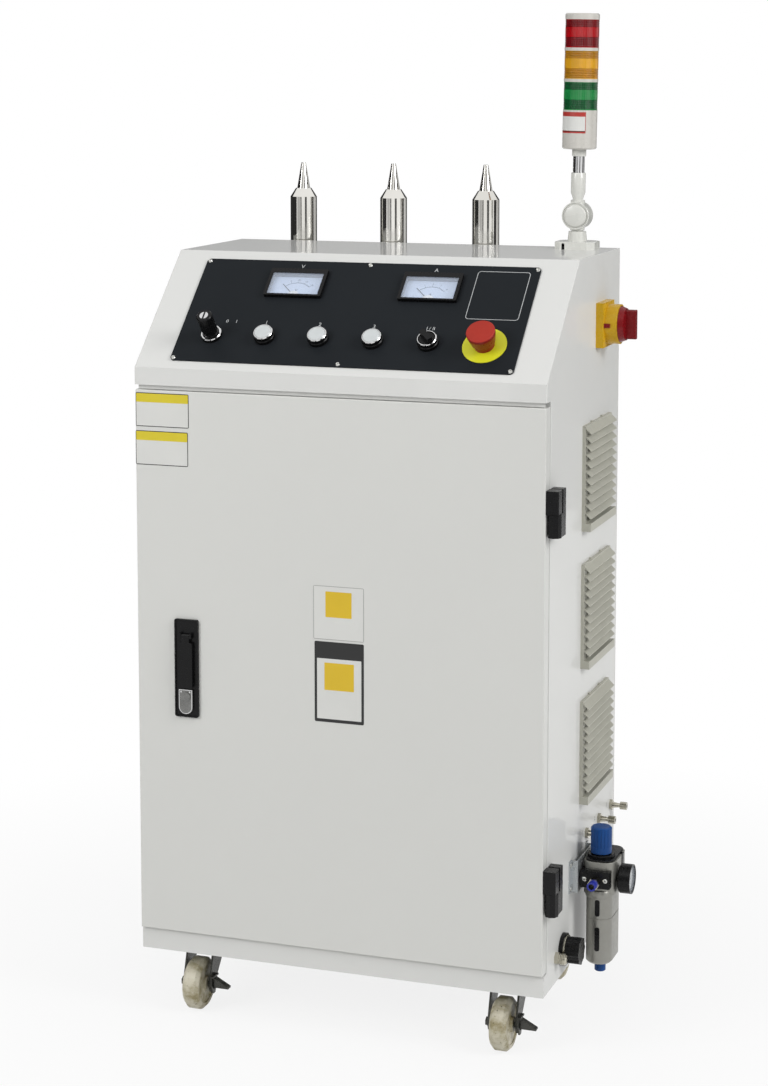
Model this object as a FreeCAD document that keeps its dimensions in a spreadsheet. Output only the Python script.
"""Plasma treatment machine: a wheeled sheet-steel cabinet with a sloping control console, three
plasma guns standing in a rear rack, a folding signal tower, a filter regulator and gas outlets.

Lengths are millimetres. In the cabinet's own coordinates x = 0 is the middle of the width, y = 0 the
front face, z = 0 the underside of the base, +Y points to the back. Console pieces are drawn flat, u
across, v up the slope and w out of it, and are then tilted onto the slope. The finished nodes stand
on the floor with the origin under the middle of the whole machine.
"""
import FreeCAD, Part
import math
import os
import Sketcher
from types import SimpleNamespace

SIZES = {
    # Cabinet
    "cabinet_width": 600, "cabinet_depth": 400, "cabinet_height": 1000, "sheet_wall": 1.5,
    "lip_bottom": 822, "lip_top": 847, "slope_depth": 166, "lip_return": 18, "edge_round": 1.2,
    "flange_width": 20, "rail_height": 30, "rail_setback": 6, "floor_height": 98,
    "slot_length": 180, "slot_width": 6, "slot_pitch": 16, "slot_count": 8, "slot_low": 90,
    # Fits
    "slide_gap": 0.3, "running_gap": 0.1, "door_gap": 1,
    # Door
    "door_depth": 20, "door_foot_gap": 2, "door_head_gap": 7, "door_return": 14,
    # Door handle and lock
    "handle_inset": 76, "handle_low": 350, "handle_width": 36, "handle_height": 141, "dish_proud": 4,
    "dish_back": 10, "dish_rim": 2, "dish_recess": 1.5, "dish_round": 3, "hub_height": 118, "hub_radius": 9.5,
    "lever_width": 21, "lever_length": 66, "lever_thick": 5.2, "lever_eye_width": 12, "ear_thick": 3,
    "pivot_radius": 1.5, "lock_width": 20, "lock_height": 35, "lock_proud": 3, "lock_low": 5,
    "key_radius": 6.5, "shaft_radius": 4, "tongue_thick": 3, "tongue_width": 16,
    # Door hinges
    "hinge_height": 64, "hinge_high": 672, "hinge_low": 149, "hinge_reach": 17, "hinge_axis_out": 9,
    "hinge_axis_back": 10, "hinge_knuckle": 9.5, "hinge_back_start": 24, "hinge_back_end": 38,
    "hinge_pin": 3, "hinge_round": 2,
    # Inside
    "plate_half_width": 265, "plate_back": 60, "plate_high": 780, "plate_foot": 40,
    "generator_width": 150, "generator_depth": 220, "generator_height": 330, "generator_pitch": 180,
    "generator_round": 6, "generator_fin": 3, "generator_fin_pitch": 14, "generator_front": 70,
    "rail_width": 35, "rail_depth": 7.5, "rail_length": 420, "rail_level": 620,
    "breaker_width": 27, "breaker_height": 82, "breaker_depth": 66, "breaker_pitch": 34,
    "breaker_nose": 44, "breaker_nose_depth": 8,
    "transformer_width": 110, "transformer_height": 90, "transformer_depth": 80,
    # Control plate
    "panel_half_width": 250, "panel_low": 14, "panel_high": 208, "panel_thick": 2, "panel_corner": 6,
    "cutout_margin": 12, "screw_inset": 4.5, "screw_radius": 3.4, "screw_height": 1.6, "screw_hex": 1.6,
    # Panel meters
    "meter_spacing": 200, "meter_width": 86, "meter_low": 137, "meter_high": 188, "meter_proud": 6,
    "meter_round": 1.5, "window_width": 76, "window_low": 140, "window_high": 179, "window_sink": 0.8,
    "window_thick": 1.2, "meter_body_width": 78, "meter_body_height": 48.6, "meter_body_depth": 40,
    "dial_sink": 9, "card_thick": 0.8, "meter_hub": 9, "meter_hub_height": 3, "needle_thick": 0.6,
    "needle_width": 0.9, "needle_length": 30, "needle_eye": 2.6, "needle_pin": 1, "needle_rest": 45,
    # Switches and buttons
    "control_pitch": 80, "control_level": 62, "ring_radius": 15, "ring_height": 6, "ring_chamfer": 1,
    "barrel_radius": 11, "barrel_depth": 45, "cap_radius": 12, "cap_height": 13, "cap_round": 1,
    "button_travel": 3.5, "ring_floor": 0.8, "key_barrel_radius": 11.3, "key_barrel_height": 28,
    "key_slot_length": 9, "key_slot_width": 2.2, "key_slot_depth": 4,
    "selector_disc": 5, "selector_grip": 20, "selector_grip_width": 8, "selector_rest": 45,
    "legend_radius": 31, "legend_thick": 1, "estop_radius": 20, "estop_height": 30, "estop_face": 5,
    "estop_skirt": 17, "estop_skirt_low": 10, "estop_bore_depth": 10, "estop_collar": 14.2,
    "estop_collar_height": 12, "estop_travel": 6,
    # Main switch on the right side
    "isolator_plate": 64, "isolator_plate_thick": 11, "isolator_from_top": 100.5,
    "isolator_from_rear": 108, "isolator_skirt": 28.5, "isolator_skirt_length": 18,
    "isolator_disc": 26, "isolator_disc_length": 8, "isolator_grip_out": 14, "isolator_grip_width": 12,
    "isolator_grip_height": 42, "isolator_tab": 6, "isolator_bore": 11,
    # Ventilation grilles
    "grille_size": 150, "grille_centre": 265, "grille_low": 295, "grille_pitch": 197.5,
    "grille_depth": 13, "grille_frame": 5, "grille_border": 12, "grille_bar": 11.4, "blade_pitch": 12,
    "blade_drop": 9, "blade_thick": 2.2, "blade_root": 3, "hood_drop": 0.6, "filter_thick": 1.4,
    # Guns and their rack
    "gun_standoff": 30, "gun_radius": 20.5, "gun_first": -208, "gun_pitch": 146.75, "gun_top": 66,
    "gun_foot": 120, "gun_shoulder": 12, "gun_cone_height": 13, "gun_nozzle_base": 10,
    "gun_nozzle_tip": 3.5, "gun_nozzle_height": 39, "gun_bore": 1.5, "gun_bore_depth": 30,
    "rack_ring_wall": 2.2, "rack_ring_height": 45, "rack_plate": 2, "rack_drop": 60, "rack_side": 35,
    # Signal tower
    "tower_inset": 57, "tower_from_rear": 29, "foot_width": 60, "foot_depth": 50, "foot_height": 11,
    "foot_corner": 12, "collar_radius": 13.5, "collar_top": 27, "knuckle_radius": 21, "knuckle_level": 48.5,
    "knuckle_thick": 13, "knuckle_bolt": 4, "sleeve_radius": 11, "sleeve_top": 111, "tube_radius": 8.5,
    "tube_top": 135, "neck_radius": 10.3, "neck_top": 145.5, "lamp_radius": 25, "lamp_base_top": 200,
    "lens_radius": 24.5, "lens_wall": 2, "lens_height": 40.5, "separator": 4.5, "lamp_core": 14,
    "lamp_cap_height": 9, "lamp_round": 2, "tower_lean": 1,
    # Filter regulator
    "regulator_out": 34, "regulator_back": 187, "regulator_half_x": 23, "regulator_half_y": 29,
    "regulator_low": 92, "regulator_high": 148, "regulator_round": 9, "regulator_collar": 19.5,
    "collar_high": 154, "knob_radius": 15, "knob_high": 193, "knob_gap": 1, "knob_flutes": 18,
    "flute_radius": 1.2, "knob_low_band": 9, "port_plate_width": 42, "port_plate_low": 113,
    "port_plate_high": 137.5, "port_plate_thick": 8, "gauge_level": 120, "gauge_reach": 80,
    "gauge_radius": 21, "gauge_length": 18, "gauge_stem": 7, "gauge_rim": 2, "gauge_sink": 5,
    "gauge_window_sink": 1, "gauge_needle_length": 13, "gauge_needle_rest": 225, "bowl_radius": 23.5,
    "bowl_wall": 2.5, "bowl_chamfer": 6, "bowl_slot_width": 6.5, "bowl_slot_high": 94, "bowl_slot_low": 69,
    "bowl_slot2_high": 54, "bowl_slot2_low": 19, "drain_radius": 8, "drain_low": -19, "drain_high": -5,
    "drain_stem": 4, "bracket_gap": 11, "bracket_thick": 2, "bracket_low": 106, "bracket_high": 152,
    "bracket_front": 134, "bracket_rear": 240, "bracket_foot": 12,
    # Fittings low on the right side
    "outlet_first": 231, "outlet_pitch": 72.5, "outlet_level": 166, "outlet_hex": 8, "outlet_hex_length": 4.5,
    "outlet_neck": 4.5, "outlet_end": 5.8, "outlet_end_length": 10, "outlet_length": 26, "outlet_bore": 2.5,
    "outlet_bore_depth": 22, "inlet_hex": 8.5, "inlet_hex_length": 9, "inlet_sleeve": 6.5,
    "inlet_sleeve_length": 11, "inlet_bore": 4, "inlet_bore_depth": 15,
    "socket_back": 103, "socket_level": 37, "socket_flange": 23, "socket_flange_thick": 6,
    "socket_cap": 17.5, "socket_cap_length": 22, "socket_lobe": 4, "socket_lobes": 8,
    "gland_back": 67, "gland_level": 36, "gland_radius": 9, "gland_length": 17, "gland_dome": 7,
    # Casters
    "caster_x": 231, "caster_front": 77, "caster_trail": 27, "wheel_radius": 37.5, "wheel_width": 30,
    "wheel_round": 5, "wheel_dish": 4, "wheel_hub": 11, "wheel_web": 28, "axle_radius": 4,
    "caster_plate_width": 60, "caster_plate_depth": 74, "caster_plate_thick": 3, "race_radius": 22,
    "race_height": 6, "king_pin": 5, "fork_thick": 3, "fork_gap": 3.5, "fork_crown_radius": 24,
    "fork_foot": 10, "fork_head": 20, "nut_radius": 6.5, "nut_length": 4, "rear_caster_inset": 62,
    "brake_thick": 2.5, "brake_width": 20, "brake_high": 14, "brake_low": 13, "brake_tab": 26,
    "brake_tab_drop": 3.5,
}


class Size:
    """A number that keeps the sheet formula it comes from, so that plain arithmetic makes formulas."""

    def __init__(self, number, formula):
        self.number = number
        self.formula = formula

    def __add__(self, other):
        return Size(self.number + number(other), f"({self.formula} + {formula(other)})")

    def __radd__(self, other):
        return Size(number(other) + self.number, f"({formula(other)} + {self.formula})")

    def __sub__(self, other):
        return Size(self.number - number(other), f"({self.formula} - {formula(other)})")

    def __rsub__(self, other):
        return Size(number(other) - self.number, f"({formula(other)} - {self.formula})")

    def __mul__(self, other):
        return Size(self.number * number(other), f"({self.formula} * {formula(other)})")

    def __rmul__(self, other):
        return Size(number(other) * self.number, f"({formula(other)} * {self.formula})")

    def __truediv__(self, other):
        return Size(self.number / number(other), f"({self.formula} / {formula(other)})")

    def __neg__(self):
        return Size(-self.number, f"(0 - {self.formula})")


def number(term):
    return term.number if isinstance(term, Size) else float(term)


def formula(term):
    return term.formula if isinstance(term, Size) else repr(float(term))


def arctangent(ratio):
    return Size(math.degrees(math.atan(ratio.number)), f"atan({ratio.formula})")


def sine(angle):
    return Size(math.sin(math.radians(angle.number)), f"sin({angle.formula})")


def cosine(angle):
    return Size(math.cos(math.radians(angle.number)), f"cos({angle.formula})")


doc = FreeCAD.newDocument("PlasmaTreatmentMachine")
sheet = doc.addObject("Spreadsheet::Sheet", "Sizes")
for row, (alias, amount) in enumerate(SIZES.items(), 1):
    sheet.set(f"A{row}", str(amount))
    sheet.setAlias(f"A{row}", alias)
doc.recompute()

S = SimpleNamespace(**{alias: Size(float(amount), "Sizes." + alias) for alias, amount in SIZES.items()})
HALF = S.cabinet_width / 2
REAR_INSIDE = S.cabinet_depth - S.sheet_wall
JAMB = S.door_depth + S.door_gap
SLOPE = arctangent((S.cabinet_height - S.lip_top) / S.slope_depth)
GUN_ROW = S.cabinet_depth + S.gun_standoff
LEVER_BACK = -1 * S.dish_proud + S.dish_recess - S.slide_gap
LEVER_FRONT = LEVER_BACK - S.lever_thick
RACK_REAR = GUN_ROW + S.gun_radius + S.slide_gap + S.rack_ring_wall
ORIGIN_X = S.gauge_reach / 2
ORIGIN_Y = (RACK_REAR + LEVER_FRONT) / 2
TURNS = {
    "z": FreeCAD.Rotation(),
    "x": FreeCAD.Rotation(FreeCAD.Vector(0, 1, 0), 90),
    "y": FreeCAD.Rotation(FreeCAD.Vector(1, 0, 0), -90),
    "-y": FreeCAD.Rotation(FreeCAD.Vector(1, 0, 0), 90),
}
NODES = []


def bind(thing, name, amount):
    """Ties one property of an object to a formula of the sheet."""
    thing.setExpression(name, formula(amount))


def place(piece, x=0, y=0, z=0, axis="z"):
    """Puts a piece in cabinet coordinates, its own +Z turned to the axis."""
    piece.Placement = FreeCAD.Placement(FreeCAD.Vector(), TURNS[axis])
    for letter, amount in zip("xyz", (x, y, z)):
        bind(piece, "Placement.Base." + letter, amount)
    return piece


def seat(piece, x=0, y=0, z=0, axis="z"):
    """Makes a piece a node that stands on the floor, from its place in cabinet coordinates."""
    place(piece, x - ORIGIN_X, y - ORIGIN_Y, z + S.floor_height, axis)
    piece.Label = piece.Name
    NODES.append(piece)
    return piece


def lean(piece, u=0, v=0, w=0):
    """Tilts a piece drawn flat onto the console's slope, in cabinet coordinates."""
    place(piece, u, v * cosine(SLOPE) - w * sine(SLOPE), S.lip_top + v * sine(SLOPE) + w * cosine(SLOPE))
    piece.Placement.Rotation = FreeCAD.Rotation(FreeCAD.Vector(1, 0, 0), SLOPE.number)
    bind(piece, "Placement.Rotation.Angle", SLOPE)
    return piece


def console(piece, u=0, v=0, w=0):
    """Makes a piece drawn flat a node on the console's slope."""
    seat(piece, u, v * cosine(SLOPE) - w * sine(SLOPE), S.lip_top + v * sine(SLOPE) + w * cosine(SLOPE))
    piece.Placement.Rotation = FreeCAD.Rotation(FreeCAD.Vector(1, 0, 0), SLOPE.number)
    bind(piece, "Placement.Rotation.Angle", SLOPE)
    return piece


def box(x, y, z):
    """A box between a low and a high value on each axis."""
    piece = doc.addObject("Part::Box", "Block")
    for name, (low, high) in zip(("Length", "Width", "Height"), (x, y, z)):
        bind(piece, name, high - low)
    return place(piece, x[0], y[0], z[0])


def rod(radius, length, x=0, y=0, z=0, axis="z"):
    piece = doc.addObject("Part::Cylinder", "Rod")
    bind(piece, "Radius", radius)
    bind(piece, "Height", length)
    return place(piece, x, y, z, axis)


def cone(low_radius, high_radius, length, x=0, y=0, z=0, axis="z"):
    piece = doc.addObject("Part::Cone", "Taper")
    bind(piece, "Radius1", low_radius)
    bind(piece, "Radius2", high_radius)
    bind(piece, "Height", length)
    return place(piece, x, y, z, axis)


def prism(sides, radius, length, x=0, y=0, z=0, axis="z"):
    piece = doc.addObject("Part::Prism", "Prism")
    piece.Polygon = sides
    bind(piece, "Circumradius", radius)
    bind(piece, "Height", length)
    return place(piece, x, y, z, axis)


def fuse(pieces, name="Joined"):
    result = doc.addObject("Part::MultiFuse", name)
    result.Shapes = pieces
    result.Refine = True
    return result


def cut(base, tools, name="Cut"):
    result = doc.addObject("Part::Cut", name)
    result.Base = base
    result.Tool = tools[0] if len(tools) == 1 else fuse(tools, name + "_tools")
    result.Refine = True
    return result


def group(pieces, name):
    result = doc.addObject("Part::Compound", name)
    result.Links = pieces
    return result


def draw(part, plane, points, offset=0):
    """A closed outline in one of the body's own planes, each corner held by two formulas."""
    sketch = part.newObject("Sketcher::SketchObject", part.Name + "_outline")
    support = next(item for item in part.Origin.OriginFeatures if item.Role == plane)
    sketch.AttachmentSupport = (support, [""])
    sketch.MapMode = "FlatFace"
    bind(sketch, "AttachmentOffset.Base.z", offset)
    corners = [FreeCAD.Vector(number(across), number(up), 0) for across, up in points]
    count = len(corners)
    for index, corner in enumerate(corners):
        sketch.addGeometry(Part.LineSegment(corner, corners[(index + 1) % count]), False)
    for index in range(count):
        sketch.addConstraint(Sketcher.Constraint("Coincident", index, 2, (index + 1) % count, 1))
    for index, (across, up) in enumerate(points):
        for kind, amount in (("DistanceX", across), ("DistanceY", up)):
            held = Sketcher.Constraint(kind, -1, 1, index, 1, number(amount))
            place_in_list = sketch.addConstraint(held)
            bind(sketch, f"Constraints[{place_in_list}]", amount)
    return sketch


def padded(name, plane, points, length, offset=0, backwards=False):
    """A body whose outline is padded straight off its plane."""
    part = doc.addObject("PartDesign::Body", name)
    pad = part.newObject("PartDesign::Pad", name + "_pad")
    pad.Profile = draw(part, plane, points, offset)
    bind(pad, "Length", length)
    pad.Reversed = backwards
    part.Tip = pad
    return part


def lathe(name, points):
    """A body turned about its own Z from pairs of radius and height."""
    part = doc.addObject("PartDesign::Body", name)
    turned = part.newObject("PartDesign::Revolution", name + "_turned")
    sketch = draw(part, "XZ_Plane", points)
    turned.Profile = sketch
    turned.ReferenceAxis = (sketch, ["V_Axis"])
    turned.Angle = 360
    part.Tip = turned
    return part


def edges_where(feature, test):
    """Names of the edges whose every sampled point passes the test."""
    doc.recompute()
    return [f"Edge{index}" for index, edge in enumerate(feature.Shape.Edges, 1)
            if all(test(point) for point in edge.discretize(5))]


def soften(part, radius, test, kind="Fillet"):
    """Rounds or chamfers the body's edges that pass the test."""
    base = part.Tip
    names = edges_where(base, test)
    edge = part.newObject("PartDesign::" + kind, part.Name + "_" + kind.lower())
    edge.Base = (base, names)
    bind(edge, "Radius" if kind == "Fillet" else "Size", radius)
    part.Tip = edge
    return part


def near(value, target):
    return abs(value - number(target)) < 0.01


def block(name, width, depth, height, corner):
    """A body standing on its origin, its four upright edges rounded."""
    half_x, half_y = width / 2, depth / 2
    outline = [(-half_x, -half_y), (half_x, -half_y), (half_x, half_y), (-half_x, half_y)]
    part = padded(name, "XY_Plane", outline, height)
    return soften(part, corner, lambda p: near(abs(p.x), half_x) and near(abs(p.y), half_y))


# Cabinet shell

def side_skin(name, side):
    """The flat skin of one side, its outer edge softly bent."""
    outline = [
        (S.rail_setback, 0), (REAR_INSIDE, 0), (REAR_INSIDE, S.cabinet_height),
        (S.slope_depth, S.cabinet_height), (0, S.lip_top), (0, S.lip_bottom), (JAMB, S.lip_bottom),
        (JAMB, S.rail_height), (S.rail_setback, S.rail_height),
    ]
    skin = padded(name, "YZ_Plane", outline, S.sheet_wall, side * HALF, backwards=side > 0)
    return soften(skin, S.edge_round, lambda p: near(p.x, side * HALF))


def side_panel(name, side, openings=()):
    """A side panel: the skin, its door jamb flange and its rear flange."""
    inner = HALF - S.sheet_wall
    spans = sorted([side * inner, side * (HALF - S.flange_width)], key=number)
    jamb = box(spans, (JAMB, JAMB + S.sheet_wall), (S.rail_height, S.lip_bottom))
    rear = box(spans, (REAR_INSIDE - S.sheet_wall, REAR_INSIDE), (S.rail_height, S.cabinet_height - S.sheet_wall))
    whole = [side_skin(name + "_skin", side), jamb, rear]
    if not openings:
        return seat(fuse(whole, name))
    return seat(cut(fuse(whole), list(openings), name))


def right_openings():
    """Cut-outs of the right side: grilles, main switch, gas outlets, power socket and cable gland."""
    start = HALF - 2 * S.sheet_wall
    through = 4 * S.sheet_wall
    reach = S.grille_size / 2 - S.grille_border
    tools = []
    for level in grille_levels():
        middle = S.grille_centre
        tools.append(box((start, start + through), (middle - reach, middle + reach), (level - reach, level + reach)))
    tools.append(rod(S.isolator_bore, through, start, *isolator_centre(), "x"))
    for back in outlet_places():
        tools.append(rod(S.outlet_neck, through, start, back, S.outlet_level, "x"))
    tools.append(rod(S.socket_cap, through, start, S.socket_back, S.socket_level, "x"))
    tools.append(rod(S.gland_dome, through, start, S.gland_back, S.gland_level, "x"))
    return tools


def grille_levels():
    return [S.grille_low + step * S.grille_pitch for step in range(3)]


def isolator_centre():
    return S.cabinet_depth - S.isolator_from_rear, S.cabinet_height - S.isolator_from_top


def outlet_places():
    return [S.outlet_first + step * S.outlet_pitch for step in range(3)]


def top_cover():
    """Roof, console slope and lip bent from one sheet, with the window under the control plate."""
    wall, high = S.sheet_wall, S.cabinet_height
    profile = [
        (REAR_INSIDE, high), (S.slope_depth, high), (0, S.lip_top), (0, S.lip_bottom),
        (S.lip_return, S.lip_bottom), (S.lip_return, S.lip_bottom + wall), (wall, S.lip_bottom + wall),
        (wall, S.lip_top - wall * (1 - sine(SLOPE)) / cosine(SLOPE)),
        (S.slope_depth + wall * (1 - cosine(SLOPE)) / sine(SLOPE), high - wall), (REAR_INSIDE, high - wall),
    ]
    sheet_body = padded("top_cover_sheet", "YZ_Plane", profile, S.cabinet_width - 2 * wall, wall - HALF)
    across = S.panel_half_width - S.cutout_margin
    window = lean(box((0, 2 * across), (0, S.panel_high - S.panel_low - 2 * S.cutout_margin), (0, 4 * wall)),
                  -across, S.panel_low + S.cutout_margin, -2 * wall)
    return seat(cut(sheet_body, [window], "top_cover"))


def rear_panel():
    """Flat rear sheet with a row of punched air slots."""
    wall = S.sheet_wall
    plate = box((-HALF, HALF), (REAR_INSIDE, S.cabinet_depth), (0, S.cabinet_height))
    slots = []
    for step in range(int(SIZES["slot_count"])):
        low = S.slot_low + step * S.slot_pitch
        slots.append(box((-S.slot_length / 2, S.slot_length / 2), (REAR_INSIDE - wall, S.cabinet_depth + wall),
                         (low, low + S.slot_width)))
    return seat(cut(plate, slots, "rear_panel"))


def base_frame():
    """Base tray with turned-up rails; the equipment stands in it."""
    wall = S.sheet_wall
    across = HALF - wall
    outer = box((-across, across), (S.rail_setback, REAR_INSIDE), (0, S.rail_height))
    inner = box((wall - across, across - wall), (S.rail_setback + wall, REAR_INSIDE - wall),
                (wall, 2 * S.rail_height))
    return seat(cut(outer, [inner], "base_frame"))


# Equipment inside the cabinet

def equipment_plate():
    """Upright mounting plate with a foot turned to the back."""
    wall = S.sheet_wall
    face = S.cabinet_depth - S.plate_back
    profile = [(face, wall), (face + S.plate_foot, wall), (face + S.plate_foot, 2 * wall), (face + wall, 2 * wall),
               (face + wall, S.plate_high), (face, S.plate_high)]
    plate = padded("equipment_plate", "YZ_Plane", profile, 2 * S.plate_half_width, -S.plate_half_width)
    return seat(plate)


def generator(index):
    """One plasma generator: a rounded case with cooling ribs on its front."""
    case = block(f"generator_case_{index}", S.generator_width, S.generator_depth, S.generator_height,
                 S.generator_round)
    front = -S.generator_depth / 2
    ribs = []
    for step in range(6):
        low = S.generator_height / 2 + step * S.generator_fin_pitch
        ribs.append(box((-S.generator_width / 3, S.generator_width / 3), (front - S.generator_fin, front),
                        (low, low + S.generator_fin)))
    whole = fuse([case] + ribs, f"generator_{index}")
    return place(whole, (index - 2) * S.generator_pitch, S.generator_front + S.generator_depth / 2, S.sheet_wall)


def plasma_generators():
    return seat(group([generator(index) for index in (1, 2, 3)], "plasma_generators"))


def switchgear():
    """Mounting rail with three breakers and a contactor, and a transformer below it."""
    face = S.cabinet_depth - S.plate_back
    middle = S.rail_level
    rail = box((-S.rail_length / 2, S.rail_length / 2), (face - S.rail_depth, face),
               (middle - S.rail_width / 2, middle + S.rail_width / 2))
    pieces = [rail]
    back = face - S.rail_depth
    for step in range(4):
        left = -S.rail_length / 3 + step * S.breaker_pitch
        body_of = box((left, left + S.breaker_width), (back - S.breaker_depth, back),
                      (middle - S.breaker_height / 2, middle + S.breaker_height / 2))
        nose = box((left, left + S.breaker_width),
                   (back - S.breaker_depth - S.breaker_nose_depth, back - S.breaker_depth),
                   (middle - S.breaker_nose / 2, middle + S.breaker_nose / 2))
        pieces.append(fuse([body_of, nose]))
    high = middle - S.breaker_height
    pieces.append(box((S.rail_length / 5, S.rail_length / 5 + S.transformer_width),
                      (face - S.transformer_depth, face), (high - S.transformer_height, high)))
    return seat(group(pieces, "switchgear"))


# Console

def control_places():
    """Key switch, three gun buttons, mode selector and emergency stop along one line."""
    return [(step - 2.5) * S.control_pitch for step in range(6)]


def meter_places():
    return [-S.meter_spacing / 2, S.meter_spacing / 2]


def screw_places():
    across = S.panel_half_width - S.screw_inset
    levels = (S.panel_low + S.screw_inset, S.panel_high - S.screw_inset)
    return [(side * across, level) for level in levels for side in (-1, 0, 1)]


def control_plate():
    """Black plate with rounded corners, cut out for the meters and bored for the switches."""
    height = S.panel_high - S.panel_low
    plate = place(block("control_plate_sheet", 2 * S.panel_half_width, height, S.panel_thick, S.panel_corner),
                  0, S.panel_low + height / 2, 0)
    tools = []
    middle = (S.meter_low + S.meter_high) / 2
    across, up = S.meter_body_width / 2 + S.slide_gap, S.meter_body_height / 2 + S.slide_gap
    for u in meter_places():
        tools.append(box((u - across, u + across), (middle - up, middle + up), (-S.panel_thick, 2 * S.panel_thick)))
    for u in control_places():
        tools.append(rod(S.barrel_radius + S.slide_gap, 3 * S.panel_thick, u, S.control_level, -S.panel_thick))
    return console(cut(plate, tools, "control_plate"))


def panel_screws():
    """Six button-head screws with hexagon sockets round the control plate."""
    heads = []
    for u, v in screw_places():
        head = cone(S.screw_radius, S.screw_radius * 0.7, S.screw_height, u, v, S.panel_thick)
        socket = prism(6, S.screw_hex, S.screw_height, u, v, S.panel_thick + S.screw_height / 2)
        heads.append(cut(head, [socket]))
    return console(group(heads, "panel_screws"))


def meter_front():
    return S.panel_thick + S.meter_proud


def meter_case(index, u):
    """A panel meter: bezel, rear body, deep dial well and the cover over the needle's root."""
    top = meter_front()
    half = S.meter_width / 2
    bezel = place(block(f"meter_bezel_{index}", S.meter_width, S.meter_high - S.meter_low, S.meter_proud,
                        S.meter_round), u, (S.meter_low + S.meter_high) / 2, S.panel_thick)
    middle = (S.meter_low + S.meter_high) / 2
    across, up = S.meter_body_width / 2, S.meter_body_height / 2
    rear = box((u - across, u + across), (middle - up, middle + up), (-S.meter_body_depth, S.panel_thick))
    reach = S.window_width / 2
    card = top - S.dial_sink
    well = box((u - reach, u + reach), (S.window_low, S.window_high), (card - S.card_thick, top + half))
    shell = cut(fuse([bezel, rear]), [well])
    low = card + S.needle_thick + 4 * S.slide_gap
    round_cover = rod(S.meter_hub, S.meter_hub_height, u, S.window_low, low)
    keep = box((u - half, u + half), (S.window_low, S.window_high), (card, top))
    common = doc.addObject("Part::MultiCommon", f"meter_hub_{index}")
    common.Shapes = [round_cover, keep]
    return fuse([shell, common], f"meter_case_{index}")


def meter_card(u):
    """The dial card in the well, with the needle's pin."""
    card = meter_front() - S.dial_sink
    reach = S.window_width / 2
    plate = box((u - reach, u + reach), (S.window_low, S.window_high), (card - S.card_thick, card))
    pin = rod(S.needle_pin, S.needle_thick + 3 * S.slide_gap, u, meter_pivot(), card)
    return fuse([plate, pin])


def meter_pivot():
    return S.window_low + S.needle_eye + S.slide_gap


def gauge_case():
    """Pressure gauge on the regulator: cup, rim and stem, turned about X."""
    face = S.gauge_length
    well = face - S.gauge_sink
    inner = S.gauge_radius - S.gauge_rim
    start = S.regulator_out + S.regulator_half_x - (S.gauge_reach - S.gauge_length)
    profile = [(0, start), (S.gauge_stem, start), (S.gauge_stem, 0), (S.gauge_radius - S.gauge_rim, 0),
               (S.gauge_radius, S.gauge_rim), (S.gauge_radius, face), (inner, face), (inner, well - S.card_thick),
               (0, well - S.card_thick)]
    return place(lathe("gauge_case", profile), *gauge_seat())


def gauge_seat():
    return HALF + S.gauge_reach - S.gauge_length, S.regulator_back, S.gauge_level, "x"


def gauge_card():
    well = S.gauge_length - S.gauge_sink
    profile = [(0, well - S.card_thick), (S.gauge_radius - S.gauge_rim, well - S.card_thick),
               (S.gauge_radius - S.gauge_rim, well), (S.needle_pin, well),
               (S.needle_pin, well + S.needle_thick + 3 * S.slide_gap), (0, well + S.needle_thick + 3 * S.slide_gap)]
    return place(lathe("gauge_card", profile), *gauge_seat())


def instrument_cases():
    """Both meter cases and the gauge case, each with its dial card."""
    flat = []
    for index, u in enumerate(meter_places(), 1):
        flat += [meter_case(index, u), meter_card(u)]
    tilted = lean(group(flat, "meter_cases"))
    return seat(group([tilted, gauge_case(), gauge_card()], "instrument_cases"))


def instrument_windows():
    """Clear windows of the meters and the gauge."""
    panes = []
    reach = S.window_width / 2
    top = meter_front() - S.window_sink
    for u in meter_places():
        panes.append(box((u - reach, u + reach), (S.window_low, S.window_high), (top - S.window_thick, top)))
    tilted = lean(group(panes, "meter_windows"))
    start = S.gauge_length - S.gauge_window_sink - S.window_thick
    x, y, z, axis = gauge_seat()
    pane = rod(S.gauge_radius - S.gauge_rim, S.window_thick, x + start, y, z, axis)
    return seat(group([tilted, pane], "instrument_windows"))


def needle(name, length, turn):
    """A needle with its eye on the origin, turned from straight up."""
    eye = cut(rod(S.needle_eye, S.needle_thick), [rod(S.needle_pin + S.slide_gap, S.needle_thick * 3, 0, 0,
                                                      -S.needle_thick)])
    start = S.needle_pin + 2 * S.slide_gap
    arm = box((-S.needle_width / 2, S.needle_width / 2), (start, length), (0, S.needle_thick))
    whole = fuse([eye, arm], name + "_flat")
    whole.Placement.Rotation = FreeCAD.Rotation(FreeCAD.Vector(0, 0, 1), turn.number)
    bind(whole, "Placement.Rotation.Angle", turn)
    return group([whole], name)


def needles():
    """Two meter needles at their left stop and the gauge's needle at zero."""
    card = meter_front() - S.dial_sink + S.slide_gap
    for name, u in zip(("voltmeter_needle", "ammeter_needle"), meter_places()):
        console(needle(name, S.needle_length, S.needle_rest), u, meter_pivot(), card)
    x, y, z, axis = gauge_seat()
    shift = S.gauge_length - S.gauge_sink + S.slide_gap
    seat(needle("gauge_needle", S.gauge_needle_length, S.gauge_needle_rest), x + shift, y, z, axis)


def switch_body(name, chamfer):
    """Chrome ring and threaded barrel of a panel switch, open at the top for its moving piece."""
    top = S.panel_thick + S.ring_height
    bore = S.cap_radius + S.slide_gap
    floor = S.panel_thick + S.ring_floor
    return lathe(name, [
        (0, -S.barrel_depth), (S.barrel_radius, -S.barrel_depth), (S.barrel_radius, S.panel_thick),
        (S.ring_radius, S.panel_thick), (S.ring_radius, top - chamfer), (S.ring_radius - chamfer, top),
        (bore, top), (bore, floor), (0, floor),
    ])


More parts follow.
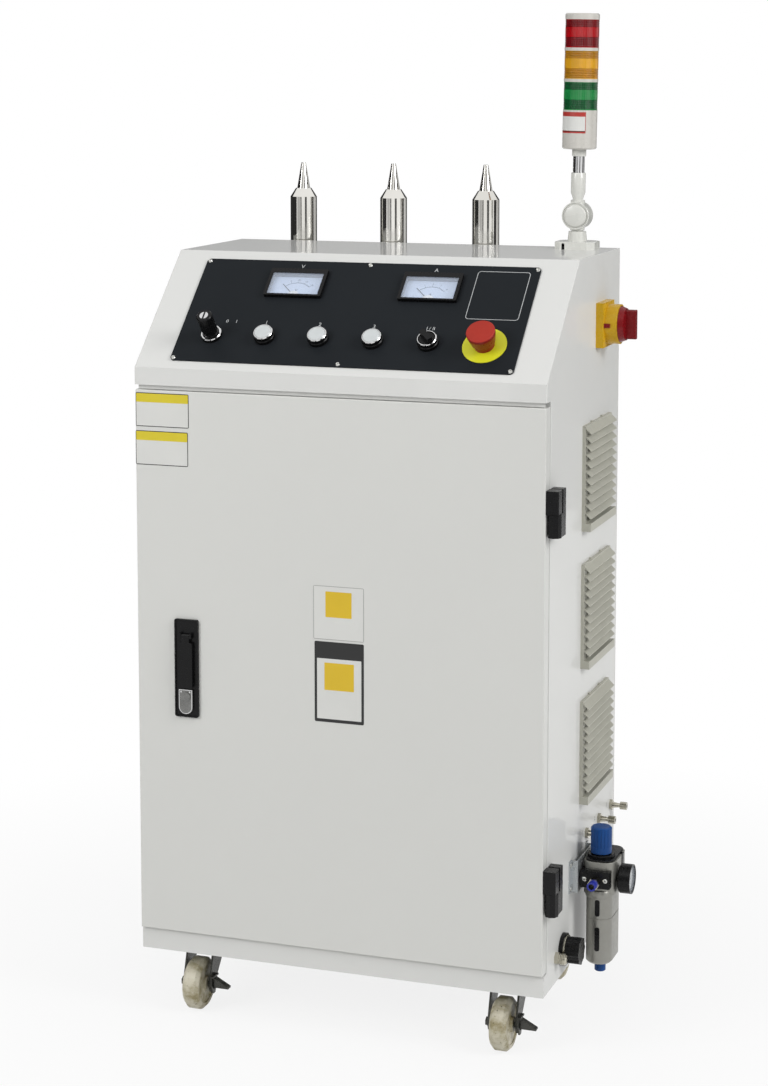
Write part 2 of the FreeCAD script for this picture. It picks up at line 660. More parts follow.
def switch_housings():
    """Five ringed switch bodies, and the emergency stop's collar with its round legend."""
    pieces = []
    places = control_places()
    for index, u in enumerate(places[:5], 1):
        pieces.append(place(switch_body(f"switch_body_{index}", S.ring_chamfer), u, S.control_level))
    low = S.panel_thick
    collar = lathe("estop_collar", [
        (0, -S.barrel_depth), (S.barrel_radius, -S.barrel_depth), (S.barrel_radius, low + S.legend_thick),
        (S.estop_collar, low + S.legend_thick), (S.estop_collar, low + S.estop_collar_height),
        (0, low + S.estop_collar_height),
    ])
    pieces.append(place(collar, places[5], S.control_level))
    legend = cut(rod(S.legend_radius, S.legend_thick, places[5], S.control_level, low),
                 [rod(S.barrel_radius, 3 * S.legend_thick, places[5], S.control_level, low - S.legend_thick)])
    pieces.append(legend)
    return console(group(pieces, "switch_housings"))


def button(index, u):
    """A white push button, free to sink by its travel."""
    low = S.panel_thick + S.ring_floor + S.button_travel + S.slide_gap
    high = S.panel_thick + S.cap_height
    cap = lathe(f"button_{index}", [
        (0, low), (S.cap_radius, low), (S.cap_radius, high - S.cap_round), (S.cap_radius - S.cap_round, high),
        (0, high),
    ])
    return console(cap, u, S.control_level)


def key_barrel():
    """Key switch barrel with a chromed face and a key slot."""
    low = S.panel_thick + S.ring_floor + S.slide_gap
    high = S.panel_thick + S.key_barrel_height
    turned = lathe("key_barrel_turned", [
        (0, low), (S.key_barrel_radius, low), (S.key_barrel_radius, high - S.ring_chamfer),
        (S.key_barrel_radius - S.ring_chamfer, high), (0, high),
    ])
    half, wide = S.key_slot_length / 2, S.key_slot_width / 2
    slot = box((-wide, wide), (-half, half), (high - S.key_slot_depth, high + S.key_slot_depth))
    return console(cut(turned, [slot], "key_barrel"), control_places()[0], S.control_level)


def selector_knob():
    """Mode selector: a disc with a raised grip."""
    low = S.panel_thick + S.ring_floor + S.slide_gap
    disc = S.panel_thick + S.ring_height + S.selector_disc
    high = S.panel_thick + S.selector_grip
    turned = lathe("selector_disc_turned", [
        (0, low), (S.cap_radius, low), (S.cap_radius, disc - S.ring_chamfer),
        (S.cap_radius - S.ring_chamfer, disc), (0, disc),
    ])
    grip = place(block("selector_grip_bar", S.selector_grip_width, 2 * (S.cap_radius - S.ring_chamfer), high - low,
                       S.ring_chamfer), 0, 0, low)
    grip.Placement.Rotation = FreeCAD.Rotation(FreeCAD.Vector(0, 0, 1), S.selector_rest.number)
    bind(grip, "Placement.Rotation.Angle", S.selector_rest)
    return console(fuse([turned, grip], "selector_knob"), control_places()[4], S.control_level)


def estop_head():
    """Red mushroom head over the collar, hollow so that it can be pushed down."""
    low = S.panel_thick + S.estop_skirt_low
    high = S.panel_thick + S.estop_height
    bore = S.estop_collar + 2 * S.slide_gap
    head = lathe("estop_head", [
        (bore, low), (S.estop_skirt, low), (S.estop_radius, high - S.estop_face), (S.estop_radius, high - S.ring_chamfer),
        (S.estop_radius - S.ring_chamfer, high), (0, high), (0, low + S.estop_bore_depth),
        (bore, low + S.estop_bore_depth),
    ])
    return console(head, control_places()[5], S.control_level)


# Right side: main switch and grilles

def isolator():
    """Main switch: square plate with a round skirt, and the turning grip."""
    y, z = isolator_centre()
    half = S.isolator_plate / 2
    plate = box((HALF, HALF + S.isolator_plate_thick), (y - half, y + half), (z - half, z + half))
    out = HALF + S.isolator_plate_thick
    skirt = rod(S.isolator_skirt, S.isolator_skirt_length, out, y, z, "x")
    tab = box((out, out + S.isolator_skirt_length / 2), (y - S.isolator_skirt - S.isolator_tab / 4, y - S.isolator_skirt / 2),
              (z - S.isolator_tab / 2, z + S.isolator_tab / 2))
    seat(fuse([plate, skirt, tab], "isolator_plate"))
    start = S.slide_gap
    disc = cone(S.isolator_disc, S.isolator_disc - S.isolator_tab / 2, S.isolator_disc_length, 0, 0, start)
    width, height = S.isolator_grip_width, S.isolator_grip_height
    grip = place(block("isolator_grip", height, width, S.isolator_grip_out + S.isolator_disc_length,
                       S.isolator_tab / 2), 0, 0, start)
    knob = fuse([disc, grip], "isolator_knob")
    seat(knob, out + S.isolator_skirt_length, y, z, "x")


def blade(name):
    """One louvre blade in the grille's side view: x out of the wall, z up from its tip."""
    outline = [(S.blade_root, S.blade_drop), (S.grille_depth, 0), (S.grille_depth, S.blade_thick / 2),
               (S.blade_root, S.blade_drop + S.blade_thick)]
    return padded(name, "XZ_Plane", outline, S.grille_size, -S.grille_size / 2)


def vent_grille(name, level):
    """Moulded louvre grille: border, slanting blades, closed bottom bar and the filter mat behind."""
    half = S.grille_size / 2
    y = S.grille_centre
    reach = half - S.grille_border
    border = box((HALF, HALF + S.grille_frame), (y - half, y + half), (level - half, level + half))
    hole = box((HALF - S.grille_frame, HALF + S.grille_depth), (y - reach, y + reach),
               (level - reach, level + reach))
    bar = box((HALF, HALF + S.grille_depth), (y - half, y + half), (level - half, level - half + S.grille_bar))
    hood = level + half - S.blade_drop - S.blade_thick - S.hood_drop
    count = int((SIZES["grille_size"] - SIZES["grille_bar"]) // SIZES["blade_pitch"])
    pieces = [cut(border, [hole]), bar]
    for step in range(count):
        pieces.append(place(blade(f"{name}_blade_{step + 1}"), HALF, y, hood - step * S.blade_pitch))
    grille = fuse(pieces, name + "_moulding")
    mat = box((HALF - S.filter_thick, HALF), (y - reach, y + reach), (level - reach, level + reach))
    return seat(group([grille, mat], name))


# Guns and their rack

def gun_places():
    return [S.gun_first + step * S.gun_pitch for step in range(3)]


def gun_bottom():
    return S.cabinet_height - S.gun_foot


def gun_rack():
    """Bent bracket on the rear panel with three rings in which the guns stand."""
    low = gun_bottom() - S.slide_gap
    left, right = gun_places()[0] - S.rack_side, gun_places()[2] + S.rack_side
    back = S.cabinet_depth
    upright = box((left, right), (back, back + S.rack_plate), (low - S.rack_drop, low + S.rack_ring_height))
    shelf = box((left, right), (back, RACK_REAR), (low - S.rack_plate, low))
    inner = S.gun_radius + S.slide_gap
    rings = []
    for x in gun_places():
        outer = rod(inner + S.rack_ring_wall, S.rack_ring_height, x, GUN_ROW, low)
        rings.append(cut(outer, [rod(inner, 2 * S.rack_ring_height, x, GUN_ROW, low)]))
    return seat(fuse([upright, shelf] + rings, "gun_rack"))


def gun(index, x):
    """A plasma gun: long barrel, shoulder cone and slim nozzle with its jet bore."""
    length = S.gun_foot + S.gun_top
    cone_top = length + S.gun_cone_height
    tip = cone_top + S.gun_nozzle_height
    turned = lathe(f"gun_{index}", [
        (0, 0), (S.gun_radius, 0), (S.gun_radius, length), (S.gun_shoulder, cone_top),
        (S.gun_nozzle_base, cone_top), (S.gun_nozzle_tip, tip), (S.gun_bore, tip),
        (S.gun_bore, tip - S.gun_bore_depth), (0, tip - S.gun_bore_depth),
    ])
    return seat(turned, x, GUN_ROW, gun_bottom())


# Signal tower

def tower_place():
    return HALF - S.tower_inset, S.cabinet_depth - S.tower_from_rear


def tower_foot():
    """Foot with cut corners, tapering collar and the fixed half of the folding knuckle."""
    x, y = tower_place()
    half_x, half_y, corner = S.foot_width / 2, S.foot_depth / 2, S.foot_corner
    outline = [(corner - half_x, -half_y), (half_x - corner, -half_y), (half_x, corner - half_y),
               (half_x, half_y - corner), (half_x - corner, half_y), (corner - half_x, half_y),
               (-half_x, half_y - corner), (-half_x, corner - half_y)]
    foot = place(padded("tower_foot_plate", "XY_Plane", outline, S.foot_height), x, y, S.cabinet_height)
    collar = cone(S.collar_radius + S.lamp_round, S.collar_radius, S.collar_top, x, y, S.cabinet_height)
    level = S.cabinet_height + S.knuckle_level
    disc = rod(S.knuckle_radius, S.knuckle_thick, x, y - S.slide_gap / 2, level, "-y")
    web = box((x - S.collar_radius, x + S.collar_radius), (y - S.slide_gap / 2 - S.knuckle_thick, y - S.slide_gap / 2),
              (S.cabinet_height + S.foot_height, level))
    bolt = rod(S.knuckle_bolt, 2 * S.knuckle_thick + S.slide_gap, x, y - S.slide_gap - S.knuckle_thick / 2, level, "y")
    return seat(fuse([foot, collar, disc, web, bolt], "tower_foot"))


def tower(piece):
    """Makes a piece drawn upright on the knuckle's centre a node that leans with the tower."""
    x, y = tower_place()
    seat(piece, x, y, S.cabinet_height + S.knuckle_level)
    piece.Placement.Rotation = FreeCAD.Rotation(FreeCAD.Vector(0, 1, 0), S.tower_lean.number)
    bind(piece, "Placement.Rotation.Angle", S.tower_lean)
    return piece


def above_knuckle(level):
    return level - S.knuckle_level


def tower_arm():
    """Moving half of the knuckle, its sleeve, the bright tube and the lamp's neck."""
    disc = rod(S.knuckle_radius, S.knuckle_thick, 0, S.slide_gap / 2, 0, "y")
    hole = rod(S.knuckle_bolt + S.running_gap, 3 * S.knuckle_thick, 0, -S.knuckle_thick, 0, "y")
    clear = box((-S.knuckle_radius, S.knuckle_radius), (-2 * S.knuckle_thick, S.slide_gap / 2),
                (-S.knuckle_radius, S.knuckle_radius + S.slide_gap))
    sleeve = lathe("tower_sleeve", [
        (0, 0), (S.sleeve_radius, 0), (S.sleeve_radius, above_knuckle(S.sleeve_top)),
        (S.tube_radius, above_knuckle(S.sleeve_top)), (S.tube_radius, above_knuckle(S.tube_top)),
        (S.neck_radius, above_knuckle(S.tube_top)), (S.neck_radius, above_knuckle(S.neck_top)),
        (0, above_knuckle(S.neck_top)),
    ])
    return tower(cut(fuse([disc, sleeve]), [fuse([clear, hole])], "tower_arm"))


def lens_levels():
    """Undersides of the three lenses, from the lowest up."""
    return [above_knuckle(S.lamp_base_top) + S.separator / 2 + step * (S.lens_height + S.separator)
            for step in range(3)]


def tower_lamp_body():
    """Lamp base, core with the separator discs, and the domed cap."""
    base_low, base_high = above_knuckle(S.neck_top), lens_levels()[0]
    top = lens_levels()[2] + S.lens_height
    edge, outer = S.lamp_round, S.lamp_radius
    base = lathe("lamp_base", [(0, base_low), (outer - edge, base_low), (outer, base_low + edge),
                               (outer, base_high), (0, base_high)])
    core = rod(S.lamp_core, top - base_high, 0, 0, base_high)
    rings = [rod(outer, S.separator, 0, 0, level + S.lens_height) for level in lens_levels()[:2]]
    cap = lathe("lamp_cap", [(0, top), (outer, top), (outer, top + S.lamp_cap_height - edge),
                             (outer - edge, top + S.lamp_cap_height), (0, top + S.lamp_cap_height)])
    return tower(fuse([base, core, cap] + rings, "tower_lamp_body"))


def lens(name, low):
    """A clear coloured lens ring with a thicker band at each end."""
    band = S.separator
    inner = S.lens_radius - S.lens_wall
    high = low + S.lens_height
    ring = lathe(name, [
        (inner, low), (S.lens_radius, low), (S.lens_radius, low + band), (S.lens_radius - S.lens_wall / 4, low + band),
        (S.lens_radius - S.lens_wall / 4, high - band), (S.lens_radius, high - band), (S.lens_radius, high),
        (inner, high),
    ])
    return tower(ring)


# Filter regulator

def regulator_centre():
    return HALF + S.regulator_out, S.regulator_back


def regulator_body():
    """Die-cast body with the collar and neck under the knob and the port plate in front."""
    x, y = regulator_centre()
    height = S.regulator_high - S.regulator_low
    body_of = place(block("regulator_casting", 2 * S.regulator_half_x, 2 * S.regulator_half_y, height,
                          S.regulator_round), x, y, S.regulator_low)
    collar = rod(S.regulator_collar, S.collar_high - S.regulator_low - height / 2, x, y, S.regulator_low + height / 2)
    front = y - S.regulator_half_y
    half = S.port_plate_width / 2
    plate = box((x - half, x + half), (front - S.port_plate_thick, front), (S.port_plate_low, S.port_plate_high))
    neck = rod(S.knob_radius - S.gauge_rim, S.knob_gap + S.collar_high - S.regulator_high, x, y,
               S.regulator_high - S.slide_gap)
    return seat(fuse([body_of, collar, plate, neck], "regulator_body"))


def regulator_knob():
    """Fluted pressure knob with a plain band at its foot."""
    low = S.collar_high + S.knob_gap + S.slide_gap
    high = S.knob_high
    turned = lathe("regulator_knob_turned", [
        (0, low), (S.knob_radius, low), (S.knob_radius, high - S.lamp_round),
        (S.knob_radius - S.lamp_round, high), (0, high),
    ])
    flutes = []
    for step in range(int(SIZES["knob_flutes"])):
        angle = math.radians(360 * step / SIZES["knob_flutes"])
        flutes.append(rod(S.flute_radius, high - low, (S.knob_radius + S.flute_radius / 3) * math.cos(angle),
                          (S.knob_radius + S.flute_radius / 3) * math.sin(angle), low + S.knob_low_band))
    knob = cut(turned, flutes, "regulator_knob")
    x, y = regulator_centre()
    return seat(knob, x, y, 0)


def bowl_guard():
    """Metal bowl guard with its two sight slots, open below for the drain."""
    x, y = regulator_centre()
    outer, wall = S.bowl_radius, S.bowl_wall
    shell = place(lathe("bowl_shell", [
        (S.drain_stem + S.slide_gap, 0), (outer - S.bowl_chamfer, 0), (outer, S.bowl_chamfer),
        (outer, S.regulator_low), (outer - wall, S.regulator_low), (outer - wall, S.bowl_chamfer + wall),
        (outer - S.bowl_chamfer, wall), (S.drain_stem + S.slide_gap, wall),
    ]), x, y, 0)
    half = S.bowl_slot_width / 2
    slots = [box((x - half, x + half), (y - 2 * outer, y), (low, high))
             for low, high in ((S.bowl_slot_low, S.bowl_slot_high - S.bowl_wall),
                               (S.bowl_slot2_low, S.bowl_slot2_high))]
    return seat(cut(shell, slots, "bowl_guard"))


def drain_knob():
    """Blue drain knob under the bowl, its stem held in the guard's floor."""
    x, y = regulator_centre()
    low, high = S.drain_low, S.drain_high
    knob = lathe("drain_knob", [
        (0, low), (S.drain_radius - S.ring_chamfer, low), (S.drain_radius, low + S.ring_chamfer),
        (S.drain_radius, high), (S.drain_stem, high), (S.drain_stem, S.bowl_wall + S.slide_gap),
        (S.drain_stem + S.ring_chamfer, S.bowl_wall + S.slide_gap),
        (S.drain_stem + S.ring_chamfer, 2 * S.bowl_wall), (0, 2 * S.bowl_wall),
    ])
    return seat(knob, x, y, 0)


def regulator_bracket():
    """Hat-shaped bracket that carries the regulator off the side wall, with its screws."""
    wall, gap, thick = HALF, S.bracket_gap, S.bracket_thick
    front, rear, foot = S.bracket_front, S.bracket_rear, S.bracket_foot
    outline = [
        (wall, front), (wall + thick, front), (wall + thick, front + foot - thick), (wall + gap, front + foot - thick),
        (wall + gap, rear - foot + thick), (wall + thick, rear - foot + thick), (wall + thick, rear), (wall, rear),
        (wall, rear - foot), (wall + gap - thick, rear - foot), (wall + gap - thick, front + foot),
        (wall, front + foot),
    ]
    hat = padded("bracket_hat", "XY_Plane", outline, S.bracket_high - S.bracket_low, S.bracket_low)
    inset = S.bracket_foot / 2 - S.bracket_thick / 2
    screws = []
    for back in (front + inset, rear - inset):
        for level in (S.bracket_low + S.bracket_foot / 2, S.bracket_high - S.bracket_foot / 2):
            screws.append(rod(S.screw_radius, S.screw_height, wall + thick, back, level, "x"))
    return seat(group([hat] + screws, "regulator_bracket"))


# Fittings low on the right side

def air_fittings():
    """Three gas outlets and the push-in air inlet of the regulator."""
    pieces = []
    for index, back in enumerate(outlet_places(), 1):
        end = S.outlet_length
        nut = prism(6, S.outlet_hex, S.outlet_hex_length)
        stem = lathe(f"outlet_{index}_stem", [
            (S.outlet_bore, end - S.outlet_bore_depth), (S.outlet_bore, end), (S.outlet_end, end),
            (S.outlet_end, end - S.outlet_end_length), (S.outlet_neck - S.screw_height, end - S.outlet_end_length),
            (S.outlet_neck, S.outlet_hex_length), (S.outlet_neck, -S.sheet_wall), (0, -S.sheet_wall),
            (0, end - S.outlet_bore_depth),
        ])
        hollow = rod(S.outlet_bore, S.outlet_length, 0, 0, end - S.outlet_bore_depth)
        whole = fuse([cut(nut, [hollow]), stem], f"gas_outlet_{index}")
        pieces.append(place(whole, HALF, back, S.outlet_level, "x"))
    x, y = regulator_centre()
    nut = prism(6, S.inlet_hex, S.inlet_hex_length)
    sleeve = rod(S.inlet_sleeve, S.inlet_sleeve_length, 0, 0, S.inlet_hex_length)
    reach = S.inlet_hex_length + S.inlet_sleeve_length
    bore = rod(S.inlet_bore, 2 * S.inlet_bore_depth, 0, 0, reach - S.inlet_bore_depth)
    level = S.port_plate_low + S.inlet_hex
    pieces.append(place(cut(fuse([nut, sleeve]), [bore], "air_inlet"), x, y - S.regulator_half_y - S.port_plate_thick,
                        level, "-y"))
    return seat(group(pieces, "air_fittings"))


def power_inlet():
    """Flanged power socket with its lobed cap, and the cable gland beside it."""
    flange = rod(S.socket_flange, S.socket_flange_thick)
    cap = rod(S.socket_cap, S.socket_cap_length, 0, 0, S.socket_flange_thick)
    lobes = []
    for step in range(int(SIZES["socket_lobes"])):
        angle = math.radians(360 * step / SIZES["socket_lobes"])
        lobes.append(rod(S.socket_lobe, S.socket_cap_length, (S.socket_cap - S.socket_lobe / 2) * math.cos(angle),
                         (S.socket_cap - S.socket_lobe / 2) * math.sin(angle), S.socket_flange_thick))
    socket = place(fuse([flange, cap] + lobes, "power_socket"), HALF, S.socket_back, S.socket_level, "x")
    nut = prism(6, S.gland_radius, S.gland_length / 3)
    dome = lathe("gland_dome", [
        (0, S.gland_length / 3), (S.gland_dome, S.gland_length / 3), (S.gland_dome, S.gland_length - S.lamp_round),
        (S.gland_dome - S.lamp_round, S.gland_length), (0, S.gland_length),
    ])
    gland = place(fuse([nut, dome], "cable_gland"), HALF, S.gland_back, S.gland_level, "x")
    return seat(group([socket, gland], "power_inlet"))


# Door with its handle, lock and hinges

def door_span():
    return (S.door_gap - HALF, HALF - S.door_gap), (S.rail_height + S.door_foot_gap, S.lip_bottom - S.door_head_gap)


def handle_x():
    return S.door_gap - HALF + S.handle_inset


def door_panel():
    """Pan-folded door: front skin, four sides and return lips, cut out for the handle."""
    (left, right), (low, high) = door_span()
    wall, back = S.sheet_wall, S.door_return + S.sheet_wall
    width, height = right - left, high - low
    skin = place(padded("door_block", "XZ_Plane", [(-width / 2, 0), (width / 2, 0), (width / 2, height),
                                                  (-width / 2, height)], S.door_depth, -S.door_depth), 0, 0, low)
    soften(skin, S.edge_round, lambda p: near(p.y, 0))
    cavity = box((left + wall, right - wall), (wall, S.door_depth - wall), (low + wall, high - wall))
    mouth = box((left + back, right - back), (wall, 2 * S.door_depth), (low + back, high - back))
    half = S.handle_width / 2 - S.dish_rim
    hole = box((handle_x() - half, handle_x() + half), (-wall, 2 * wall),
               (S.handle_low + S.dish_rim, S.handle_low + S.handle_height - S.dish_rim))
    return seat(cut(skin, [fuse([cavity, mouth]), hole], "door_panel"))


def handle_dish():
    """Black dish of the swing handle with its shallow recess, and the lock piece below."""
    x = handle_x()
    width, height = S.handle_width, S.handle_height
    low = S.handle_low
    frame_of = place(block("dish_frame", width, height, S.dish_proud, S.dish_round), x, 0, low + height / 2, "-y")
    half = width / 2 - S.dish_rim
    rear = box((x + S.slide_gap - half, x + half - S.slide_gap), (0, S.dish_back),
               (low + S.dish_rim + S.slide_gap, low + height - S.dish_rim - S.slide_gap))
    recess = box((x - half, x + half), (-2 * S.dish_proud, S.dish_recess - S.dish_proud),
                 (low + S.dish_rim, low + height - S.dish_rim))
    hub = rod(S.hub_radius + S.running_gap, 4 * S.dish_back, x, -2 * S.dish_back, low + S.hub_height, "y")
    dish = cut(fuse([frame_of, rear]), [recess, hub])
    floor = S.dish_recess - S.dish_proud
    flat = low + S.lock_low + S.lock_width / 2
    lock_top = low + S.lock_low + S.lock_height
    lock = fuse([rod(S.lock_width / 2, S.lock_proud, x, floor, flat, "-y"),
                 box((x - S.lock_width / 2, x + S.lock_width / 2), (floor - S.lock_proud, floor), (flat, lock_top)),
                 rod(S.key_radius, S.lock_proud + 1, x, floor, lock_top - S.lock_width / 2, "-y")])
    return seat(group([dish, lock], "handle_dish"))


def lock_cam():
    """Hub with the lever's ears in front, shaft through the door and tongue beside the jamb."""
    x, level = handle_x(), S.handle_low + S.hub_height
    floor = S.dish_recess - S.dish_proud
    behind = JAMB + 2 * S.sheet_wall
    hub = rod(S.hub_radius, S.dish_back - floor, x, floor, level, "y")
    shaft = rod(S.shaft_radius, behind - S.dish_back, x, S.dish_back, level, "y")
    jamb_edge = S.flange_width + S.door_gap - HALF
    tongue = box((jamb_edge, x + S.hub_radius), (behind, behind + S.tongue_thick),
                 (level - S.tongue_width / 2, level + S.tongue_width / 2))
    inside = S.lever_eye_width / 2 + S.slide_gap
    high = S.pivot_radius * 2.5
    ears = [box(sorted([x + side * inside, x + side * (inside + S.ear_thick)], key=number), (LEVER_FRONT, floor),
                (level - high, level + high)) for side in (-1, 1)]
    pin = rod(S.pivot_radius, 2 * (inside + S.ear_thick), x - inside - S.ear_thick,
              (LEVER_BACK + LEVER_FRONT) / 2, level, "x")
    return seat(fuse([hub, shaft, tongue, pin] + ears, "lock_cam"))


def handle_lever():
    """Lift-and-turn lever: narrow eye on the hub's pin, wide grip below."""
    x, level = handle_x(), S.handle_low + S.hub_height
    middle = (LEVER_BACK + LEVER_FRONT) / 2
    half = S.lever_eye_width / 2
    eye = rod(S.lever_thick / 2, S.lever_eye_width, x - half, middle, level, "x")
    root_low = level - S.hub_radius
    root = box((x - half, x + half), (LEVER_FRONT, LEVER_BACK), (root_low - S.slide_gap, level))
    grip = place(block("lever_grip", S.lever_width, S.lever_length, S.lever_thick, S.dish_round),
                 x, LEVER_BACK, root_low - S.lever_length / 2, "-y")
    hole = rod(S.pivot_radius + S.running_gap, 2 * S.lever_width, x - S.lever_width, middle, level, "x")
    return seat(cut(fuse([eye, root, grip]), [hole], "handle_lever"))


def hinge_levels():
    return [S.hinge_low, S.hinge_high]


def hinge_frame_leaves():
    """Two frame leaves: block on the side wall, octagonal knuckle below and the upright pin."""
    leaves = []
    axis_x, axis_y = HALF + S.hinge_axis_out, S.hinge_axis_back
    for level in hinge_levels():
        low, high = level - S.hinge_height / 2, level + S.hinge_height / 2
        rear = box((HALF, HALF + S.hinge_reach), (S.hinge_back_start, S.hinge_back_end), (low, high))
        middle = level - S.slide_gap
        knuckle = prism(8, S.hinge_knuckle, middle - low, axis_x, axis_y, low)
        neck = box((axis_x - S.hinge_knuckle / 2, HALF + S.hinge_reach), (axis_y, S.hinge_back_start), (low, middle))
        pin = rod(S.hinge_pin, high - low - 2 * S.hinge_round, axis_x, axis_y, low + S.hinge_round / 2)
        leaves.append(fuse([rear, knuckle, neck, pin]))
    return seat(group(leaves, "hinge_frame_leaves"))


def hinge_door_leaves():
    """Two door leaves on the door's edge, bored for the pins."""
    leaves = []
    axis_x, axis_y = HALF + S.hinge_axis_out, S.hinge_axis_back
    for index, level in enumerate(hinge_levels(), 1):
        low, high = level + S.slide_gap, level + S.hinge_height / 2
        width = S.hinge_reach + S.door_gap
        leaf = place(block(f"hinge_leaf_{index}", width, S.door_depth, high - low, S.hinge_round),
                     HALF - S.door_gap + width / 2, S.door_depth / 2, low)
        hole = rod(S.hinge_pin + S.running_gap, high - level, axis_x, axis_y, level - S.hinge_round / 2)
        leaves.append(cut(leaf, [hole]))
    return seat(group(leaves, "hinge_door_leaves"))


# Casters

def caster_drop():
    """Height of the wheel's axle below the base."""
    return S.floor_height - S.wheel_radius


def fork_profile(name, backwards):
    """Side view of one fork leg: wide at the crown, narrow round the axle, drawn about the swivel."""
    drop = -1 * caster_drop()
    crown = -1 * (S.caster_plate_thick + S.race_height)
    trail = -1 * S.caster_trail
    outline = [(-S.fork_head, crown), (S.fork_head, crown), (S.fork_head, crown - S.fork_foot),
               (trail + S.fork_foot, drop), (trail + S.fork_foot / 2, drop - S.fork_foot),
               (trail - S.fork_foot / 2, drop - S.fork_foot), (trail - S.fork_foot, drop)]
    inner = S.wheel_width / 2 + S.fork_gap
    side = -1 if backwards else 1
    return padded(name, "YZ_Plane", outline, S.fork_thick, side * inner, backwards=backwards)


def fork(name):
    """Caster fork drawn about the swivel axis: crown, two slanting legs and the axle with its nuts."""
    crown_top = -1 * (S.caster_plate_thick + S.race_height)
    inner = S.wheel_width / 2 + S.fork_gap
    outer = inner + S.fork_thick
    crown = box((-outer, outer), (-S.fork_head, S.fork_head), (crown_top - S.fork_thick, crown_top))
    race = rod(S.fork_crown_radius, S.fork_thick, 0, 0, crown_top - S.fork_thick)
    legs = [fork_profile(name + "_left_leg", True), fork_profile(name + "_right_leg", False)]
    drop = -1 * caster_drop()
    reach = outer + S.nut_length
    axle = rod(S.axle_radius, 2 * reach, -reach, -S.caster_trail, drop, "x")
    nut = prism(6, S.nut_radius, S.nut_length, -reach, -S.caster_trail, drop, "x")
    return fuse([crown, race, axle, nut] + legs, name)


def caster_corners():
    """Swivel axes of the front casters and the matching points of the rigid rear ones."""
    rear = S.cabinet_depth - S.rear_caster_inset + S.caster_trail
    return {
        "front_left": (-S.caster_x, S.caster_front), "front_right": (S.caster_x, S.caster_front),
        "rear_left": (-S.caster_x, rear), "rear_right": (S.caster_x, rear),
    }


def front_caster_plates():
    """Top plates of the swivel casters with the ball race and the king pin."""
    plates = []
    for name in ("front_left", "front_right"):
        x, y = caster_corners()[name]
        plate = place(block(name + "_plate", S.caster_plate_width, S.caster_plate_depth, S.caster_plate_thick,
                            S.fork_thick), x, y, -S.caster_plate_thick)
        low = -1 * (S.caster_plate_thick + S.race_height) + S.slide_gap
        race = rod(S.race_radius, S.race_height, x, y, low)
        plates.append(fuse([plate, race]))
    return seat(group(plates, "front_caster_plates"))


def rear_caster_forks():
    """Rigid rear casters: the same forks fixed to their plates by a spacer."""
    forks = []
    for name in ("rear_left", "rear_right"):
        x, y = caster_corners()[name]
        plate = place(block(name + "_plate", S.caster_plate_width, S.caster_plate_depth, S.caster_plate_thick,
                            S.fork_thick), x, y, -S.caster_plate_thick)
        spacer = rod(S.race_radius, S.race_height, x, y, -1 * (S.caster_plate_thick + S.race_height))
        forks.append(fuse([plate, spacer, place(fork(name + "_legs"), x, y, 0)]))
    return seat(group(forks, "rear_caster_forks"))


def wheel(name, x, y):
    """Cream nylon wheel with a crowned tread, dished sides and a long hub."""
    half, dish = S.wheel_width / 2, S.wheel_dish
    bore = S.axle_radius + S.running_gap
    edge = S.wheel_round
    turned = lathe(name, [
        (bore, -half), (S.wheel_hub, -half), (S.wheel_hub, dish - half), (S.wheel_web, dish - half),
        (S.wheel_web, edge / 2 - half), (S.wheel_radius - edge, edge / 2 - half), (S.wheel_radius, 1.5 * edge - half),
        (S.wheel_radius, half - 1.5 * edge), (S.wheel_radius - edge, half - edge / 2), (S.wheel_web, half - edge / 2),
        (S.wheel_web, half - dish), (S.wheel_hub, half - dish), (S.wheel_hub, half), (bore, half),
    ])
    return seat(turned, x, y - S.caster_trail, -1 * caster_drop(), "x")


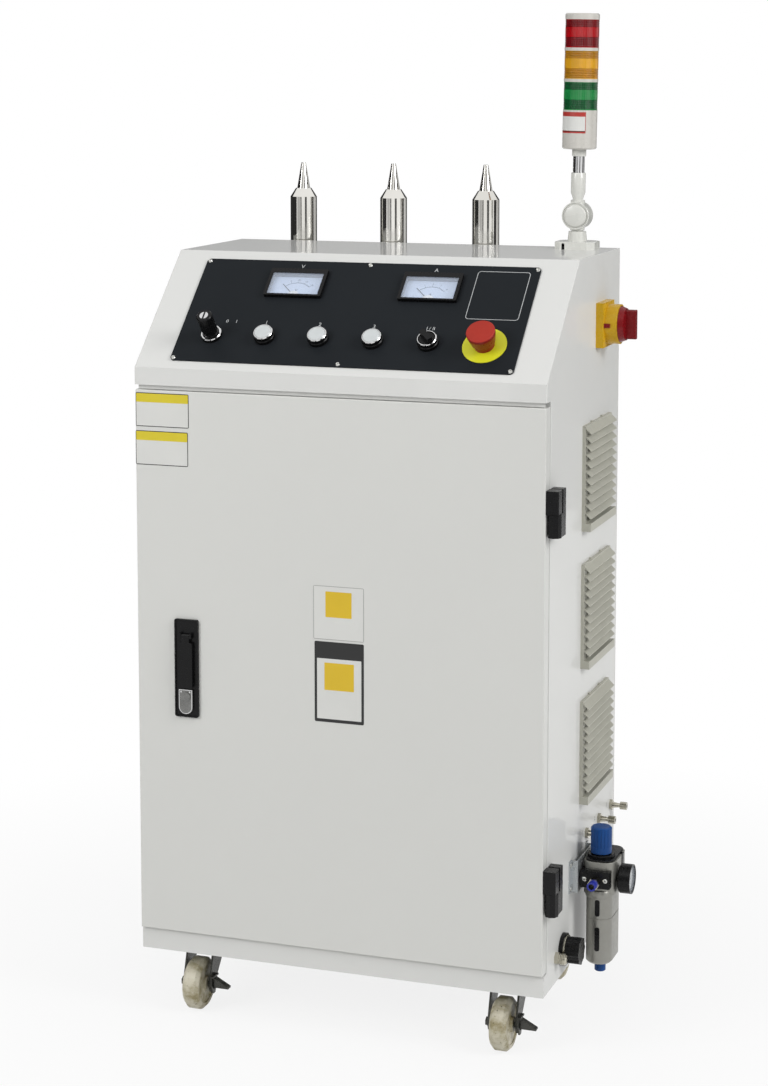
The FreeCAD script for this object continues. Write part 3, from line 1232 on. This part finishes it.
def brake_lever(name, x, y):
    """Stamped brake lever on the outer leg, turning about the axle, with its wedge-shaped foot tab."""
    start = S.wheel_width / 2 + S.fork_gap + S.fork_thick + S.slide_gap
    half = S.brake_width / 2
    outline = [(-half, 0), (-half / 3, -S.brake_low), (half / 3, -S.brake_low), (half, 0), (half, S.brake_high),
               (-half, S.brake_high)]
    arm = padded(name + "_arm", "YZ_Plane", outline, S.brake_thick, start)
    lip = box((start, start + 2 * S.brake_thick), (-half, half), (S.brake_high - S.brake_thick, S.brake_high))
    low = -1 * S.brake_tab_drop
    wedge = [(start, low), (start + S.brake_tab, low), (start + S.brake_tab, low + S.brake_thick),
             (start + S.brake_thick, S.brake_high - S.brake_thick), (start, S.brake_high - S.brake_thick)]
    tab = padded(name + "_tab", "XZ_Plane", wedge, S.brake_width / 2, -S.brake_width / 4)
    hole = rod(S.nut_radius + S.slide_gap, S.nut_length + S.brake_thick, 0, 0, 0, "x")
    place(hole, start - S.brake_thick, 0, 0, "x")
    return seat(cut(fuse([arm, lip, tab]), [hole], name), x, y - S.caster_trail, -1 * caster_drop())


def casters():
    front_caster_plates()
    rear_caster_forks()
    for name, (x, y) in caster_corners().items():
        wheel(name + "_wheel", x, y)
        if name.startswith("front"):
            seat(fork(name + "_fork"), x, y, 0)
            brake_lever(name + "_brake", x, y)


# Whole machine

def machine():
    side_panel("left_side_panel", -1)
    side_panel("right_side_panel", 1, right_openings())
    top_cover()
    rear_panel()
    base_frame()
    equipment_plate()
    plasma_generators()
    switchgear()
    control_plate()
    panel_screws()
    instrument_cases()
    instrument_windows()
    needles()
    switch_housings()
    for index, u in enumerate(control_places()[1:4], 1):
        button(index, u)
    key_barrel()
    selector_knob()
    estop_head()
    isolator()
    for name, level in zip(("vent_grille_bottom", "vent_grille_middle", "vent_grille_top"), grille_levels()):
        vent_grille(name, level)
    gun_rack()
    for index, x in enumerate(gun_places(), 1):
        gun(index, x)
    tower_foot()
    tower_arm()
    tower_lamp_body()
    for name, low in zip(("lens_green", "lens_amber", "lens_red"), lens_levels()):
        lens(name, low)
    regulator_body()
    regulator_knob()
    bowl_guard()
    drain_knob()
    regulator_bracket()
    air_fittings()
    power_inlet()
    door_panel()
    handle_dish()
    lock_cam()
    handle_lever()
    hinge_frame_leaves()
    hinge_door_leaves()
    casters()


def write_parts():
    """Checks every object and every node, then writes one STEP file per node."""
    doc.recompute()
    failed = [item.Name for item in doc.Objects if "Invalid" in item.State or "Error" in item.State]
    if failed:
        raise SystemExit("failed objects: " + ", ".join(failed))
    for piece in NODES:
        if piece.Shape.isNull() or not piece.Shape.isValid() or not piece.Shape.Solids:
            raise SystemExit("bad shape: " + piece.Label)
    os.makedirs("parts", exist_ok=True)
    for piece in NODES:
        piece.Shape.exportStep(os.path.join("parts", piece.Label + ".step"))
    print(len(NODES), "nodes written")


machine()
write_parts()
